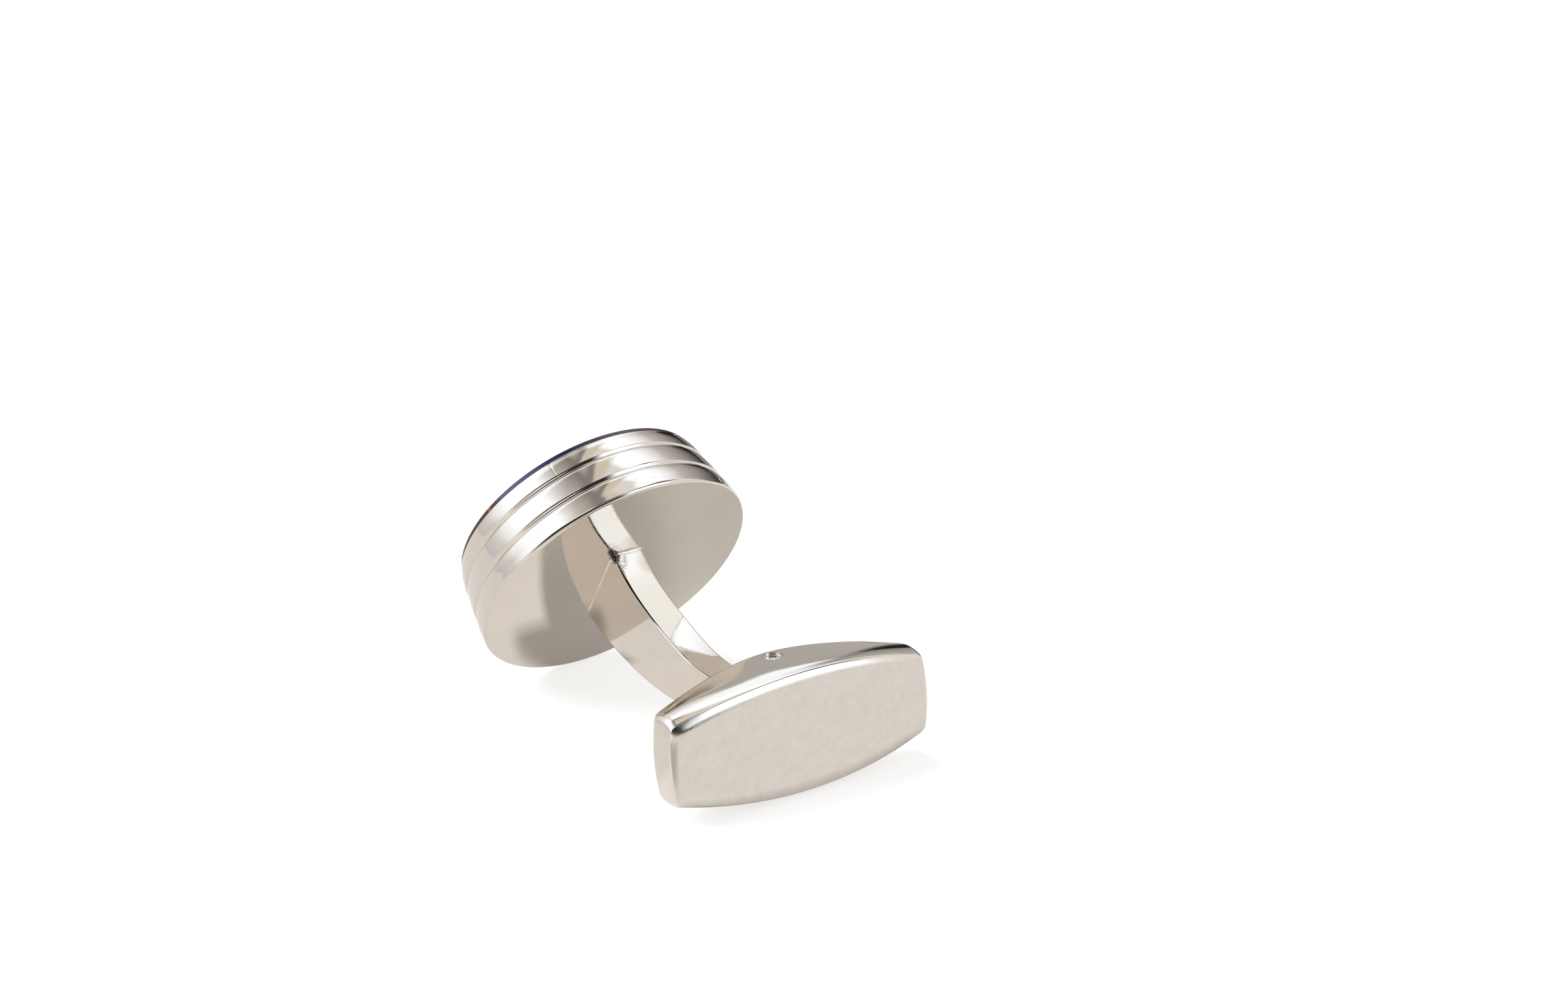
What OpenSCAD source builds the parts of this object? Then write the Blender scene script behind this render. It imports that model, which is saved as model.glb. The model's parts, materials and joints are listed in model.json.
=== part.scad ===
// Whale-back cufflink, millimetres.
// A round metal head with a coloured inlay, a curved flat post brazed to its back,
// and a toggle that swings on a pin through the post's end, held by a leaf spring.
// The pieces are drawn about the head's axis: the back face is the plane z = 0,
// the head's front is towards -z and the post rises towards +z.
// lay() then sets the whole down on a table, on the head's rim and the toggle's back edge.

/* [Head] */
// Diameter of the head across its back rim
head_d = 18; // [15:0.5:22]
// How far the wall leans in, from the back rim to the front rim
front_inset = 0.76; // [0.2:0.02:1.2]
// Height of the band next to the back face
rear_band = 1.67; // [1.2:0.01:2.4]
// Height of the middle band
middle_band = 1.73; // [1.3:0.01:2.4]
// Height of the front band, which is the bezel
front_band = 1.28; // [1.1:0.02:2]
// Depth of the two turned grooves between the bands
groove_depth = 0.16; // [0.1:0.02:0.4]
// Width of the two grooves
groove_w = 0.3; // [0.2:0.05:0.5]
// Radius on the edge of the back face
back_round = 0.4; // [0.2:0.05:0.7]
// Thickness of the case's floor, under the post
floor_t = 1.2; // [0.8:0.1:1.8]
// Thickness of the case's wall at its thinnest
wall_t = 1.3; // [0.9:0.1:2]

/* [Bezel and inlay] */
// Thickness of the rim that shows round the inlay
rim_t = 0.15; // [0.1:0.05:0.6]
// Depth of the seat for the inlay
seat_depth = 0.85; // [0.6:0.05:1]
// Length of the bezel's spigot inside the case
spigot_h = 1; // [0.6:0.1:1.6]
// Thickness of the spigot's wall
spigot_t = 0.9; // [0.6:0.1:1.4]
// Width of the web that carries the inlay's edge
web_w = 3.4; // [1.6:0.2:5]
// Thickness of the cement under the inlay
cement_t = 0.1; // [0.05:0.05:0.2]
// How far the inlay stands proud of the rim
inlay_proud = 0.4; // [0.2:0.05:0.6]
// Bevel round the inlay's front edge
inlay_bevel = 0.12; // [0.05:0.01:0.2]

/* [Post] */
// Thickness of the post
post_t = 2.1; // [1.6:0.1:3]
// Width of the post at its foot
foot_w = 6; // [4:0.2:8]
// Width of the post inside the toggle
neck_w = 2.55; // [2:0.05:3.2]
// Radius of the post's curve
bend_r = 19.1; // [16:0.1:26]
// Angle that the post turns through
bend = 38; // [28:1:42]
// Length of the straight end, up to the pin
straight_l = 5.5; // [4:0.1:8]
// How far the foot stands below the head's centre
foot_drop = 0.42; // [0:0.01:1]
// How far the cam's corners reach past its flats, from the pin's axis
cam_corner = 0.15; // [0.08:0.01:0.2]
// Width and height of the braze bead round the foot
bead = 0.35; // [0.2:0.05:0.6]

/* [Toggle] */
// Length of the toggle
toggle_l = 17.7; // [15:0.1:22]
// Width of the toggle at its middle
toggle_w = 7.5; // [6.4:0.1:9]
// Width of the toggle at its ends
end_w = 4.95; // [4:0.05:6.2]
// Radius of the toggle's corners, seen from its face
end_round = 1; // [0.8:0.05:1.6]
// Height of the edges of the toggle's face above the pin's axis
face_h = 3.15; // [2.9:0.05:4]
// How far the face falls away towards the ends
face_crown = 0.47; // [0.2:0.01:0.8]
// How far the face swells above its edges
face_swell = 0.42; // [0:0.02:0.6]
// Distance from the edges over which most of the swell rises
swell_reach = 1.05; // [0.6:0.05:2]
// Height of the back's hump behind the pin's axis
hump_h = 1.25; // [1:0.05:1.8]
// How far the back falls away towards the ends
back_fall = 1.7; // [1.2:0.05:2.2]
// Softness of the hump, as a share of the toggle's half length
hump_soft = 0.3; // [0.15:0.05:0.6]
// Radius on the edges of the face
face_round = 0.25; // [0.2:0.05:0.6]
// Radius on the edges of the back
back_edge_round = 0.55; // [0.3:0.05:0.8]
// How far the toggle swings each way from square
swing = 82; // [70:1:83]

/* [Pin and spring] */
// Diameter of the toggle's pin
pin_d = 1.2; // [0.8:0.05:1.4]
// Depth of the pin's ends under the toggle's flanks
pin_recess = 0.15; // [0.05:0.05:0.4]
// Thickness of the leaf spring
spring_t = 0.25; // [0.15:0.05:0.35]
// Length of the leaf spring
spring_l = 7.2; // [5:0.2:9]
// How far the leaf spring is bowed
spring_rise = 0.7; // [0.4:0.05:0.8]

/* [Fits] */
// Clearance of the post on the pin, on the radius
run_gap = 0.03; // [0.01:0.01:0.1]
// Clearance of the pin in the toggle, on the radius
press_gap = 0.01; // [0.005:0.005:0.02]
// Clearance round the bezel's spigot and the inlay
seat_gap = 0.03; // [0.01:0.01:0.08]
// Clearance of the post in the toggle's slot
slot_gap = 0.12; // [0.08:0.02:0.3]
// Clearance of the cam's flat over the spring
spring_gap = 0.1; // [0.08:0.01:0.2]

/* [Hidden] */
$fn = 96;

metal = [0.80, 0.77, 0.72];
steel = [0.62, 0.63, 0.65];
braze = [0.72, 0.66, 0.55];
cement = [0.85, 0.82, 0.74];
enamel = [0.16, 0.13, 0.38];

head_r = head_d / 2;
case_h = rear_band + middle_band;
head_h = case_h + front_band;
front_r = head_r - front_inset;
bore_r = front_r - wall_t;
seat_r = front_r - rim_t;
inlay_r = seat_r - seat_gap;
seat_z = head_h - seat_depth;
inlay_z = head_h + inlay_proud;

// The post's middle line is an arc and then a straight, in the plane x = 0.
arc_l = bend_r * bend * PI / 180;
post_l = arc_l + straight_l;
steps = 24;
function turned(s) = bend * min(s, arc_l) / arc_l;
function middle(s) =
    let (a = turned(s), e = max(s - arc_l, 0))
    [bend_r * (1 - cos(a)) + e * sin(a) - foot_drop, bend_r * sin(a) + e * cos(a)];
function half_w(s) = (foot_w + (neck_w - foot_w) * min(s, arc_l) / arc_l) / 2;
function side(s, way) = middle(s) + way * half_w(s) * [cos(turned(s)), -sin(turned(s))];
pin_at = middle(post_l);

// The toggle's outline, crown and arched back, at x from its middle.
half_l = toggle_l / 2;
function along(x) = x / half_l;
function outline(x) = end_w / 2 + (toggle_w - end_w) / 2 * (1 - along(x) ^ 2);
function face_z(x) = face_h - face_crown * along(x) ^ 2;
function rise(d) = 1 - exp(-d / swell_reach);
function swell(x, v) = face_swell * rise(outline(x) * (1 - abs(v))) * rise(half_l - abs(x));
function fall(u) = (sqrt(u * u + hump_soft ^ 2) - hump_soft) / (sqrt(1 + hump_soft ^ 2) - hump_soft);
function back_z(x) = -hump_h + back_fall * fall(along(x));
rib_count = 8;
end_x = half_l - end_round;
ribs = [for (i = [-rib_count : rib_count]) end_x * i / rib_count];
crest_rows = [-0.85, -0.6, -0.3, 0, 0.3, 0.6, 0.85];

cam_flat = post_t / 2;
cam_r = cam_flat + cam_corner;
slot_half = neck_w / 2 + slot_gap;
pit_r = cam_r + slot_gap;
spring_top = cam_flat + spring_gap;
pocket_z = spring_top + spring_t + spring_rise;
spring_in_r = ((spring_l / 2) ^ 2 + spring_rise ^ 2) / (2 * spring_rise);
pin_r = pin_d / 2;
pin_l = toggle_w - 2 * pin_recess;
far = toggle_l;

// The table touches the rounding of the rim and the lower of the toggle's two long edges.
function from_pin(w, n) =
    pin_at + w * [cos(bend), -sin(bend)] + n * [sin(bend), cos(bend)];
rim_c = [back_round - head_r, -back_round];
function face_edge(way) = from_pin(way * (toggle_w / 2 - face_round), face_h - face_round);
back_edge = from_pin(back_edge_round - toggle_w / 2, back_edge_round - hump_h);
function tangent(c, r) =
    let (reach = c - rim_c) atan2(reach[1], reach[0]) + acos((back_round - r) / norm(reach));
down = max(tangent(face_edge(-1), face_round), tangent(back_edge, back_edge_round));
lie = 270 - down;
lift = rim_c * [cos(down), sin(down)] + back_round;
function to_rear(p) = p * [cos(lie), -sin(lie)];
rear_y = max(
    to_rear([-inlay_r, inlay_bevel - inlay_z]),
    to_rear([inlay_bevel - inlay_r, -inlay_z]),
    to_rear([-front_r, -head_h])
);
crests = [for (v = crest_rows) to_rear(from_pin(v * outline(0), face_h + swell(0, v)))];
fore_y = min(to_rear(face_edge(-1)) - face_round, to_rear(face_edge(1)) - face_round, min(crests));
shift_y = (rear_y + fore_y) / 2;

module lay()
    translate([0, -shift_y, lift]) rotate([lie, 0, 0]) children();

// Stands children at the pin: x along the toggle, y along the pin, z out of the face.
module at_pin()
    translate([0, pin_at[0], pin_at[1]]) rotate([-bend, 0, 0]) children();

function wall_r(z) = head_r - front_inset * z / head_h;

// A turned band of the head, between two depths below the back face.
module band(z0, z1)
    translate([0, 0, -z1]) cylinder(h = z1 - z0, r1 = wall_r(z1), r2 = wall_r(z0));

module groove(z)
    translate([0, 0, -z]) rotate_extrude()
        translate([wall_r(z) - groove_depth, -groove_w / 2])
            square([groove_depth + front_inset, groove_w]);

// The turned case: floor, wall, rounded back edge and the groove between its bands.
module case_shell() {
    edge = [for (a = [90 : -15 : 0]) [head_r - back_round + back_round * cos(a),
                                      -back_round + back_round * sin(a)]];
    rotate_extrude() polygon(concat([[0, 0]], edge, [
        [wall_r(case_h), -case_h], [bore_r, -case_h], [bore_r, -floor_t], [0, -floor_t]
    ]));
}

module case()
    color(metal) lay() difference() {
        case_shell();
        groove(rear_band);
        groove(case_h);
    }

module bezel()
    color(metal) lay() difference() {
        union() {
            band(case_h, head_h);
            translate([0, 0, -case_h])
                cylinder(h = spigot_h, r = bore_r - seat_gap);
        }
        groove(case_h);
        translate([0, 0, -head_h - 1]) cylinder(h = seat_depth + 1, r = seat_r);
        translate([0, 0, -head_h - 1]) cylinder(h = head_h, r = seat_r - web_w);
        translate([0, 0, -case_h]) cylinder(h = spigot_h + 1, r = bore_r - seat_gap - spigot_t);
    }

module inlay_cement()
    color(cement) lay() translate([0, 0, -seat_z - cement_t])
        cylinder(h = cement_t, r = inlay_r);

module inlay()
    color(enamel) lay() union() {
        translate([0, 0, inlay_bevel - inlay_z])
            cylinder(h = inlay_z - inlay_bevel - seat_z - cement_t, r = inlay_r);
        translate([0, 0, -inlay_z])
            cylinder(h = inlay_bevel, r1 = inlay_r - inlay_bevel, r2 = inlay_r);
    }

// The post's bar, from its foot to the cam's flat end past the pin.
module bar() {
    full_l = post_l + cam_flat;
    sides = [for (i = [0 : steps]) side(full_l * i / steps, 1)];
    back = [for (i = [steps : -1 : 0]) side(full_l * i / steps, -1)];
    rotate([90, 0, 90]) linear_extrude(post_t, center = true)
        polygon(concat(sides, back));
}

module pin_rod(r, l)
    rotate([90, 0, 0]) cylinder(h = l, r = r, center = true);

// What is cut from the bar's end to round the cam's two corners.
module cam_corners()
    difference() {
        translate([0, 0, post_t]) cube([2 * post_t, toggle_w, 2 * post_t], center = true);
        pin_rod(cam_r, 2 * toggle_w);
    }

module post()
    color(metal) lay() difference() {
        bar();
        at_pin() cam_corners();
        at_pin() pin_rod(pin_r + run_gap, 2 * toggle_w);
    }

// The bead of braze in the corner between the foot and the back face.
module braze_bead()
    color(braze) lay() difference() {
        translate([0, -foot_drop, 0]) linear_extrude(bead, slices = 1, scale = [
            post_t / (post_t + 2 * bead), foot_w / (foot_w + 2 * bead)
        ]) square([post_t + 2 * bead, foot_w + 2 * bead], center = true);
        bar();
    }

// Where the balls of an edge's rounding stand: along the outline and round its corners.
function edge_path(r) = let (turn = max(end_round - r, 0)) concat(
    [for (x = ribs) [x, outline(x) - r]],
    [for (way = [-1, 1], a = [30, 60, 90])
        [way * (end_x + turn * sin(a)), outline(end_x) - r - turn * (1 - cos(a))]]
);

// One ball on each long edge, at a place [x, w] of an edge's path.
module balls(place, r, z)
    for (way = [-1, 1])
        translate([place[0], way * place[1], z]) sphere(r, $fn = 20);

module whale_back()
    hull() {
        for (p = edge_path(face_round))
            balls(p, face_round, face_z(p[0]) - face_round);
        for (p = edge_path(back_edge_round))
            balls(p, back_edge_round, back_z(p[0]) + back_edge_round);
        for (x = ribs, v = crest_rows)
            translate([x, v * outline(x), face_z(x) + swell(x, v) - face_round])
                sphere(face_round, $fn = 8);
    }

// The slot that the post swings in: a fan each way from the pin, over a round pit.
module slot_fan() {
    depth = cam_flat + slot_gap;
    start = depth * [cos(swing), sin(swing)];
    end = start + far * [sin(swing), -cos(swing)];
    rotate([90, 0, 0]) linear_extrude(toggle_w, center = true) union() {
        circle(pit_r);
        polygon([start, end, [end[0], -far], [-end[0], -far],
                 [-end[0], end[1]], [-start[0], start[1]]]);
    }
}

// The slot's width: as the neck at the pin, wider where the post's taper lies in it.
module slot_plan() {
    flare_x = straight_l;
    wide = half_w(post_l - half_l) + bend_r * (1 - cos(bend * (half_l - flare_x) / arc_l))
         + slot_gap;
    translate([0, 0, -far]) linear_extrude(2 * far) polygon([
        [-flare_x, -slot_half], [flare_x, -slot_half], [half_l, -wide], [half_l, wide],
        [flare_x, slot_half], [-flare_x, slot_half], [-half_l, wide], [-half_l, -wide]
    ]);
}

module spring_pocket()
    translate([0, 0, pocket_z / 2])
        cube([spring_l + 2 * slot_gap, 2 * slot_half, pocket_z], center = true);

module toggle_body()
    color(metal) lay() at_pin() difference() {
        whale_back();
        intersection() {
            slot_fan();
            slot_plan();
        }
        spring_pocket();
        pin_rod(pin_r + press_gap, 2 * toggle_w);
    }

module toggle_pin()
    color(steel) lay() at_pin() pin_rod(pin_r, pin_l);

// A bowed strip: its crown meets the cam and its ends stand on the pocket's floor.
module leaf_spring()
    color(steel) lay() at_pin() rotate([90, 0, 0])
        linear_extrude(2 * (slot_half - slot_gap), center = true) intersection() {
            translate([0, spring_top + spring_t + spring_in_r]) difference() {
                circle(spring_in_r + spring_t);
                circle(spring_in_r);
            }
            translate([-spring_l / 2, 0]) square([spring_l, pocket_z]);
        }

case();
bezel();
inlay_cement();
inlay();
post();
braze_bead();
toggle_body();
toggle_pin();
leaf_spring();
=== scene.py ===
"""A whale-back cufflink, lying on the rim of its head and the back edge of its toggle."""
import json
import math

import bmesh
import bpy
import numpy as np
from mathutils import Matrix, Quaternion, Vector, noise


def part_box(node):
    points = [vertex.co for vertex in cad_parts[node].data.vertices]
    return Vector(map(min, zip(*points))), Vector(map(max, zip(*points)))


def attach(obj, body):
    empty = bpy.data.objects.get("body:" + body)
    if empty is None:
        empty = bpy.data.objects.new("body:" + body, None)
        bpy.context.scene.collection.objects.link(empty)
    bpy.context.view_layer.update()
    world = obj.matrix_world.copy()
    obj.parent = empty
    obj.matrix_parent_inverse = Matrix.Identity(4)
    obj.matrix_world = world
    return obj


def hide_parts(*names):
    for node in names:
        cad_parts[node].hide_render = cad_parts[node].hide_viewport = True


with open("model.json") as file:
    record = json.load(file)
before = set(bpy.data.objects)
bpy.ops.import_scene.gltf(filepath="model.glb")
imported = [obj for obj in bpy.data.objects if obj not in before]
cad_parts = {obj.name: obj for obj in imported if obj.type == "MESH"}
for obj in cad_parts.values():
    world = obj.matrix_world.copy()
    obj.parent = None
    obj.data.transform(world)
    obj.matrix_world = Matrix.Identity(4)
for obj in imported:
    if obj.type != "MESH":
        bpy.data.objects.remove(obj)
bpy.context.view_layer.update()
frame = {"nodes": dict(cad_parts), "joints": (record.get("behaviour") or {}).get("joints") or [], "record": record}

# Camera
# It stands to the front left of the toggle and a little above it, with a long lens.
# Its axis passes right of the post, so that the part lies to the left, as photographed.
mm = 0.001
camera_at = Vector((-111.07, -179.79, 91.60)) * mm
aim_at = Vector((8.41, -0.11, 12.46)) * mm
camera_roll = math.radians(2.0)
camera = bpy.data.cameras.new("camera")
camera.sensor_width = 36
camera.lens = 87.33
camera.clip_start = 0.01
viewer = bpy.data.objects.new("camera", camera)
bpy.context.collection.objects.link(viewer)
viewer.location = camera_at
viewer.rotation_mode = "QUATERNION"
level = (aim_at - camera_at).to_track_quat("-Z", "Y")
viewer.rotation_quaternion = level @ Quaternion((0, 0, 1), -camera_roll)
bpy.context.scene.camera = viewer
bpy.context.scene.view_settings.view_transform = "Standard"


# Table and light tent
# A white table and a white tent light the metal softly from all round. Glowing cards that
# only the metal mirrors paint dark and bright reflections into it, to give the polish its
# edges as dark cards and diffusers do in photographs of silver.
table_size = 3.0
table_colour = (0.90, 0.90, 0.90, 1)
camera_lift = 0.62
gloss_lift = 0.18
tent_level = 0.36
lamp_distance = 1.5
lamp_size = 0.8
lamps = {"left_lamp": (146, 45, 9.5), "back_lamp": (100, 58, 9.5)}
card_distance = 0.5
card_step = 0.05

# Each card is a painted reflection: a glowing sheet on a sphere round the part, a step
# larger than the one before, about a middle that is given by its azimuth and elevation. Its
# sides and rises are where it starts and ends from there and how wide its soft edges are,
# all in degrees. A colour above 1 paints the reflection of a lit diffuser, a lower one that
# of something dimmer, and a lean is how far the sides move for each degree of rise.
cards = {
    "top_gap": (90, 79, (2, 35.3, 6, 26), (-18, 26, 5, 5), (0.30, 0.29, 0.28), 0.2),
    "grey_gap": (90, 79, (-1, 12, 2, 8), (-18, 26, 5, 5), (0.32, 0.31, 0.29), 0.6),
    "warm_gap": (90, 79, (-13, 8, 5, 5), (-16, 22, 8, 8), (0.84, 0.80, 0.71), 0.7),
    "front_diffuser": (299, 0, (-24, 18, 8, 8), (3, 45, 4, 4), (1.7, 1.93, 2.2)),
    "camera_flag": (240, 22, (-49, 50, 8, 6), (-30, 26, 6, 8), (0.03, 0.028, 0.026)),
    "corner_flag": (252, 62, (-14, 14, 5, 5), (-14, 14, 5, 5), (0.05, 0.045, 0.04)),
    "front_gap": (326, 45, (-36, 20, 6, 6), (-8, 18, 5, 5), (0.12, 0.10, 0.09)),
    "front_edge": (270, 0, (-40, 24, 5, 10), (-7, 7, 5, 5), (0.62, 0.60, 0.58)),
    "left_diffuser": (146, 38, (-31, 31, 12, 12), (-27, 28, 14, 14), (1.42, 1.54, 1.72)),
    "left_edge": (135, 0, (-45, 45, 9, 9), (-20, 17, 9, 16), (0.71, 0.74, 0.78)),
    "low_diffuser": (54, 34, (-2, 9, 3, 2), (-10, 16, 1.5, 8), (1.3, 1.42, 1.6), 0.4),
    "edge_gap": (44, 10, (-9, 6, 6, 2), (-9, 9.5, 4, 3), (0.02, 0.018, 0.016)),
    "back_diffuser": (15, 56, (-32, 42, 8, 8), (-19, 20, 18, 4), (1.42, 1.54, 1.72)),
    "right_flag": (16, 0, (-40, 34.5, 20, 2.5), (-20, 52, 1, 46), (0.08, 0.07, 0.07)),
    "back_edge": (75, 0, (-30, 30, 5, 5), (-20, 33, 1, 2), (0.53, 0.52, 0.51)),
}

# Flat glowing cards lie on the table, the uppermost first, with their X and Y spans in mm as
# the other cards have theirs in degrees. Only the metal mirrors them, so they paint the
# table's reflection: painted shade by the toggle's left end, painted light over the part's
# shadow before its face and to the left of the post, painted shade to the post's right, a
# wide patch of painted light that goes on to the left, and painted shade for the table's
# darker far corner.
table_cards = {
    "left_shade": ((-60, -9, 25, 4), (-60, -16, 25, 3), (0.62, 0.60, 0.57)),
    "face_painted_light": ((-45, 90, 10, 20), (-150, -13.8, 20, 2.2), (0.95, 0.95, 0.95)),
    "side_painted_light": ((-40, -1.3, 10, 0.7), (-9, 8.8, 2, 1.2), (0.93, 0.91, 0.89)),
    "right_shade": ((4, 40, 8, 10), (-8, 14, 5, 5), (0.68, 0.66, 0.63)),
    "left_painted_light": ((-700, -3.8, 100, 0.9), (-4, 700, 2, 100), (0.90, 0.89, 0.88)),
    "far_corner_painted_shade": ((10, 300, 60, 5), (35, 400, 70, 5), (0.15, 0.14, 0.13)),
}
table_card_lift = 0.02


def node_of(tree, kind, *given, operation=None, **named):
    """A new node. Its inputs are given in their order, or by name with _ for a space, and
    each is a value or the output of another node."""
    node = tree.nodes.new(kind)
    if operation:
        node.operation = operation
    by_name = [(node.inputs[key.replace("_", " ")], value) for key, value in named.items()]
    for socket, value in [*zip(node.inputs, given), *by_name]:
        if isinstance(value, bpy.types.NodeSocket):
            tree.links.new(value, socket)
        else:
            socket.default_value = value
    return node


def empty_tree(holder):
    """The node tree of a new material or world, with nothing in it."""
    holder.use_nodes = True
    holder.node_tree.nodes.clear()
    return holder.node_tree


def seen_directly(tree):
    """A value of 1 for rays from the camera, off a gloss or through glass, else 0."""
    ray = node_of(tree, "ShaderNodeLightPath").outputs
    seen = ray["Is Camera Ray"]
    for kind in ("Is Glossy Ray", "Is Transmission Ray"):
        seen = node_of(tree, "ShaderNodeMath", seen, ray[kind], operation="MAXIMUM").outputs[0]
    return seen


def make_table():
    """A flat square sheet at height 0, whose own white is lifted where it is seen. The
    lift is less off a gloss, so that the part's shadow still shows in its metal."""
    half = table_size / 2
    corners = [(-half, -half, 0), (half, -half, 0), (half, half, 0), (-half, half, 0)]
    mesh = bpy.data.meshes.new("table")
    mesh.from_pydata(corners, [], [(0, 1, 2, 3)])
    table = bpy.data.objects.new("table", mesh)
    bpy.context.collection.objects.link(table)
    material = bpy.data.materials.new("table_white")
    tree = empty_tree(material)
    paper = node_of(tree, "ShaderNodeBsdfDiffuse", Color=table_colour)
    path = node_of(tree, "ShaderNodeLightPath")
    lift = node_of(tree, "ShaderNodeMapRange", path.outputs["Is Camera Ray"],
                   To_Min=gloss_lift, To_Max=camera_lift)
    glow = node_of(tree, "ShaderNodeEmission", (1, 1, 1, 1), lift.outputs["Result"])
    lifted = node_of(tree, "ShaderNodeAddShader", paper.outputs[0], glow.outputs[0])
    choice = node_of(tree, "ShaderNodeMixShader", seen_directly(tree), paper.outputs[0], lifted.outputs[0])
    node_of(tree, "ShaderNodeOutputMaterial", choice.outputs[0])
    mesh.materials.append(material)


def make_tent():
    """A world that is white where it is seen and a little less where it only lights."""
    world = bpy.data.worlds.new("tent")
    bpy.context.scene.world = world
    tree = empty_tree(world)
    lighting = node_of(tree, "ShaderNodeBackground", (1, 1, 1, 1), tent_level)
    seen = node_of(tree, "ShaderNodeBackground", (1, 1, 1, 1))
    choice = node_of(tree, "ShaderNodeMixShader", seen_directly(tree), lighting.outputs[0], seen.outputs[0])
    node_of(tree, "ShaderNodeOutputWorld", choice.outputs[0])


def aimed(azimuth, elevation):
    """The turn that takes the X axis to an azimuth and an elevation, in degrees."""
    lift, turn = math.radians(elevation), math.radians(azimuth)
    level, rise = math.cos(lift), math.sin(lift)
    raised = np.array([[level, 0, -rise], [0, 1, 0], [rise, 0, level]])
    turned = np.array([[math.cos(turn), -math.sin(turn), 0], [math.sin(turn), math.cos(turn), 0], [0, 0, 1]])
    return turned @ raised


def make_lamp(name, azimuth, elevation, power):
    """A square softbox that looks at the part. The metal shows the cards instead of it."""
    light = bpy.data.lights.new(name, "AREA")
    light.size = lamp_size
    light.energy = power
    lamp = bpy.data.objects.new(name, light)
    bpy.context.collection.objects.link(lamp)
    lamp.location = Vector(aimed(azimuth, elevation)[:, 0]) * lamp_distance
    lamp.rotation_euler = lamp.location.to_track_quat("Z", "Y").to_euler()
    lamp.visible_camera = False
    lamp.visible_glossy = False


def make_sheet(name, places, cover, colour):
    """A sheet on a grid of places that only the metal mirrors. It glows in one colour, and
    where its cover is less than 1, what is behind it shows through."""
    index = np.arange(cover.size).reshape(cover.shape)
    quads = np.stack([index[:-1, :-1], index[:-1, 1:], index[1:, 1:], index[1:, :-1]], axis=-1)
    mesh = bpy.data.meshes.new(name)
    mesh.from_pydata(places.reshape(-1, 3).tolist(), [], quads.reshape(-1, 4).tolist())
    attribute = mesh.attributes.new("cover", "FLOAT", "POINT")
    attribute.data.foreach_set("value", cover.ravel())
    material = bpy.data.materials.new(name)
    tree = empty_tree(material)
    reader = node_of(tree, "ShaderNodeAttribute")
    reader.attribute_name = "cover"
    glow = node_of(tree, "ShaderNodeEmission", (*colour, 1))
    clear = node_of(tree, "ShaderNodeBsdfTransparent")
    choice = node_of(tree, "ShaderNodeMixShader", reader.outputs["Fac"], clear.outputs[0], glow.outputs[0])
    node_of(tree, "ShaderNodeOutputMaterial", choice.outputs[0])
    material.cycles.emission_sampling = "NONE"
    mesh.materials.append(material)
    sheet = bpy.data.objects.new(name, mesh)
    bpy.context.collection.objects.link(sheet)
    sheet.visible_camera = False
    sheet.visible_diffuse = False
    sheet.visible_shadow = False
    sheet.visible_transmission = False


def soft_patch(first_span, second_span, steps=41):
    """Even places along two spans, each given as its start, its end and its two soft
    widths, and the cover there, which rises evenly from 0 at each edge."""
    spans = [np.unique(np.r_[np.linspace(start, end, steps), start + before, end - after])
             for start, end, before, after in (first_span, second_span)]
    inside = [np.clip(np.minimum((at - span[0]) / span[2], (span[1] - at) / span[3]), 0, 1)
              for at, span in zip(spans, (first_span, second_span))]
    return *np.meshgrid(*spans), np.outer(inside[1], inside[0])


def make_card(name, distance, azimuth, elevation, sides, rises, colour, lean=0.0):
    """A patch of a sphere about the part, turned to its azimuth and elevation."""
    side, rise, cover = soft_patch(sides, rises)
    side, rise = np.radians(side + lean * rise), np.radians(rise)
    patch = np.stack([np.cos(rise) * np.cos(side), np.cos(rise) * np.sin(side), np.sin(rise)], axis=-1)
    make_sheet(name, patch @ aimed(azimuth, elevation).T * distance, cover, colour)


make_table()
make_tent()
for name, values in lamps.items():
    make_lamp(name, *values)
for number, (name, values) in enumerate(cards.items()):
    make_card(name, card_distance * (1 + card_step * number), *values)
for number, (name, (x_span, y_span, colour)) in enumerate(table_cards.items()):
    x, y, cover = soft_patch(x_span, y_span)
    lift = table_card_lift * (len(table_cards) - number)
    make_sheet(name, np.stack([x, y, 0 * x + lift], axis=-1) * mm, cover, colour)


# Case
# The turned metal cup of the head: a flat back plate, two bands with a groove between,
# and the wall that the bezel drops into. It is turned from bar, then plated and polished.
head_radius = (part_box("case")[1].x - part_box("case")[0].x) / 2 / mm
front_inset = 0.76
rear_band = 1.67
middle_band = 1.73
front_band = 1.28
inlay_proud = 0.4
floor_thickness = 1.2
case_wall = 1.3
# The grooves between the bands, the bands' fullness, the wall's curve and the rear edge.
groove_depth = 0.16
groove_spread = 0.46
groove_cut = 0.96
band_crown = 0.035
wall_curve = 0.25
back_round = 0.42
# The angle from which an edge is shaded sharp, and where flats and bands have a first point.
sharp_from = 35.0
clear_of_round = 1.4
flat_share = 0.5
case_height = rear_band + middle_band
head_height = case_height + front_band
front_radius = head_radius - front_inset
bore_radius = front_radius - case_wall

mounts = {mount["name"]: mount for mount in frame["record"]["mounts"]}
across = np.array((1.0, 0.0, 0.0))
to_front = np.array(mounts["front_face"]["axis"])
up_plate = np.cross(-to_front, across)
plate_centre = np.array(mounts["front_face"]["pos_m"]) - to_front * (head_height + inlay_proud) * mm


def on_head(x, y, z):
    """The row's place of a point x across, y up the back plate and z out of it, in mm."""
    x, y, z = np.broadcast_arrays(x, y, z)
    out = x[..., None] * across + y[..., None] * up_plate - z[..., None] * to_front
    return plate_centre + out * mm


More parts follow.
